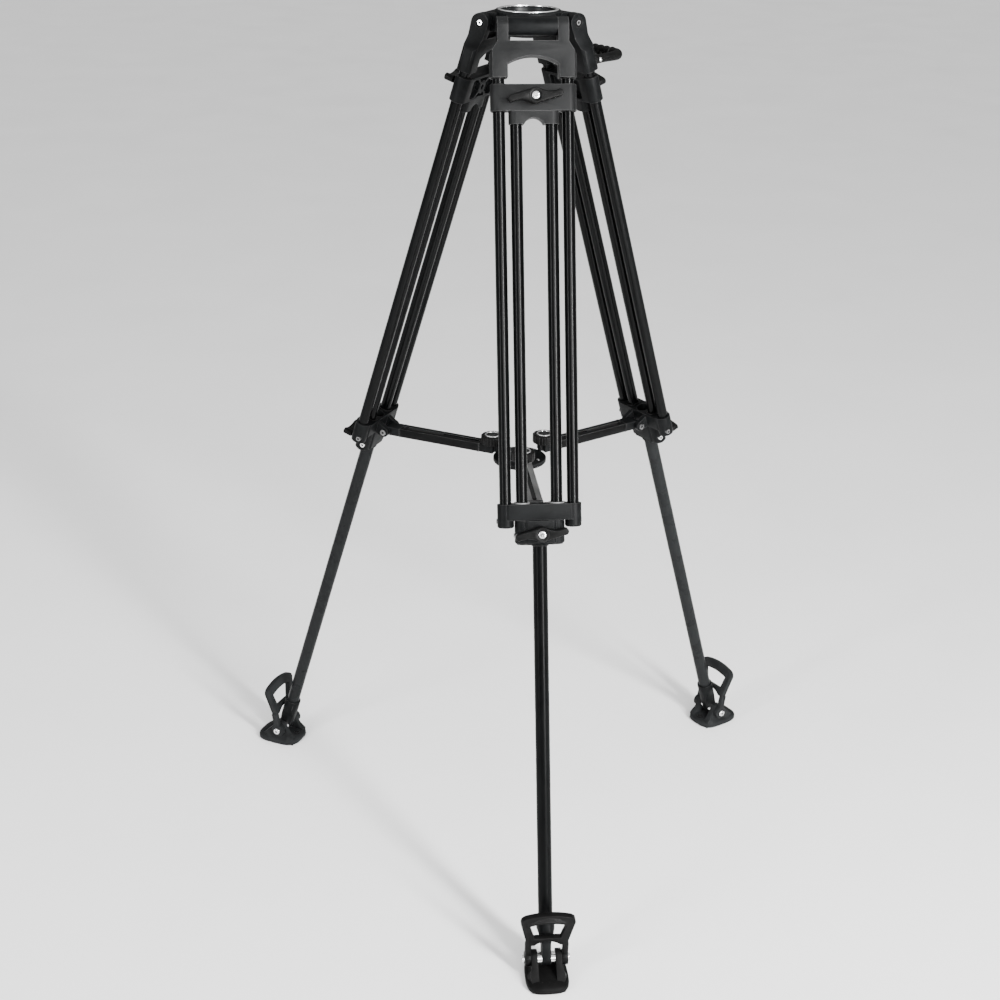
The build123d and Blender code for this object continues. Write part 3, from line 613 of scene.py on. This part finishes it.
HUB_TOP = 606.05
lathe("hub ring", [(21.5, HUB_TOP), (21.8, HUB_TOP + 0.3), (23.0, HUB_TOP + 0.3), (23.4, HUB_TOP)],
      centre, DULL_STEEL, "spreader_hub", steps=72, closed=True)
for k in range(3):
    a = math.radians(90 + 120 * k)
    lathe(f"hub stud {k}", [(0, 1.4), (1.5, 1.2), (2.6, 0.5), (2.8, -0.3)],
          Matrix.Translation((30 * math.cos(a), 30 * math.sin(a), 606.1)), DULL_STEEL, "spreader_hub",
          steps=24)
hex_recess_shade("hub screw recess", 2.6, Matrix.Translation((0, 0, 613.66)), "spreader_hub")


# ---------------------------------------------------------------- carrying handle
def handle_path():
    """A foot and a bend at each end, the second pair mirrored, with the ribbed grip between them."""
    start, start_radii = [], []
    for k in range(8):
        start.append((-HANDLE_X, 12 + 34 * k / 7, 57 + 8.2 * k / 7))
        start_radii.append(HANDLE_R - 0.5 * math.sin(math.pi * k / 7))
    for k in range(1, 9):
        a = math.pi / 2 * k / 9
        x = -HANDLE_X + HANDLE_BEND * (1 - math.cos(a))
        start.append((x, 47.6 + HANDLE_BEND * math.sin(a), 65.6 + 2.9 * math.sin(a)))
        start_radii.append(HANDLE_R + (GRIP_R - HANDLE_R) * k / 9)
    bar, bar_radii = [], []
    for k in range(121):
        x = -GRIP_HALF + 2 * GRIP_HALF * k / 120
        ripple = 0.0
        if abs(x) < RIBBED_HALF:
            ripple = 0.95 * math.cos((x / RIBBED_HALF) * math.pi * 4.0) + 0.1
        bar.append((x, 59.6, 68.6))
        bar_radii.append(GRIP_R + ripple * 0.9)
    end = [(-x, y, z) for x, y, z in reversed(start)]
    return start + bar + end, start_radii + bar_radii + start_radii[::-1]


leg_axes = leg_matrix(LEGS["right"])
path, radii = handle_path()
handle = sweep("carrying handle grip", path, radii, leg_axes, 32)
finish_piece(handle, GRIP, "right_stage_one", ("carry_handle",))
for side, word in SIDES:
    lathe(f"handle foot pad {word}", [(0, 0), (8.9, 0), (8.9, 2.4), (7.6, 3.6), (6.2, 3.9), (0, 3.9)],
          along(leg_axes, side * HANDLE_X, 10.5, 57, (0, 1, 0)), GRIP, "right_stage_one")
    lathe(f"handle screw {word}", [(0, 1.8), (1.6, 1.6), (2.6, 0.8), (2.9, 0.0), (2.9, -1)],
          along(leg_axes, side * 50.2, 20, 58.9, (side, 0, 0)), STEEL, "right_stage_one", steps=24)

# ---------------------------------------------------------------- studio
FLOOR_HALF = 45.0
FLOOR_DROP = 0.0004
corners = [(-FLOOR_HALF, -FLOOR_HALF, 0), (FLOOR_HALF, -FLOOR_HALF, 0), (FLOOR_HALF, FLOOR_HALF, 0),
           (-FLOOR_HALF, FLOOR_HALF, 0)]
floor_mesh = bpy.data.meshes.new("studio_floor")
floor_mesh.from_pydata(corners, [], [(0, 1, 2, 3)])
floor = place_mesh("studio_floor", floor_mesh)
floor.location = (0, 0, -FLOOR_DROP)
paint(floor, material("pale floor", grey(0.93), grey(0.96), 0.6, spec=0.15, mottle=3, grain=60, bump=0.02))

world = bpy.data.worlds.new("studio")
bpy.context.scene.world = world
world.use_nodes = True
sky = world.node_tree.nodes["Background"]
sky.inputs["Color"].default_value = (1, 1, 1, 1)
sky.inputs["Strength"].default_value = 0.18


def softbox(name, azimuth, reach, z, aim_z, width, height, power):
    """A rectangular light at an azimuth and reach from the middle, turned to a point above the middle."""
    light = bpy.data.lights.new(name, "AREA")
    light.shape = "RECTANGLE"
    light.size = width
    light.size_y = height
    light.energy = power
    obj = bpy.data.objects.new(name, light)
    a = math.radians(azimuth)
    obj.location = (reach * math.cos(a), reach * math.sin(a), z)
    obj.rotation_euler = (Vector((0, 0, aim_z)) - obj.location).to_track_quat("-Z", "Y").to_euler()
    bpy.context.scene.collection.objects.link(obj)


softbox("left strip", -143, 3.0, 1.6, 0.8, 0.28, 2.6, 75)
softbox("right strip", -61, 3.0, 1.6, 0.8, 0.24, 2.6, 330)
softbox("front panel", -84, 4.2, 2.1, 1.0, 1.2, 0.9, 60)
overhead = bpy.data.lights.new("overhead", "SUN")
overhead.energy = 2.6
overhead.angle = math.radians(130)
overhead_object = bpy.data.objects.new("overhead", overhead)
overhead_object.rotation_euler = (math.radians(8), 0, 0)
bpy.context.scene.collection.objects.link(overhead_object)

camera_data = bpy.data.cameras.new("camera")
camera_data.lens = 57.8
camera_data.sensor_width = 36.0
camera_data.clip_end = 100
camera = bpy.data.objects.new("camera", camera_data)
right = Vector((0.99518, -0.09725, 0.01277))
up = Vector((0.02759, 0.40254, 0.91499))
back = Vector((-0.09412, -0.91022, 0.40328))
pose = Matrix((right, up, back)).transposed().to_4x4()
pose.translation = (-0.2569, -2.2081, 1.5137)
camera.matrix_world = pose
bpy.context.scene.collection.objects.link(camera)
bpy.context.scene.camera = camera
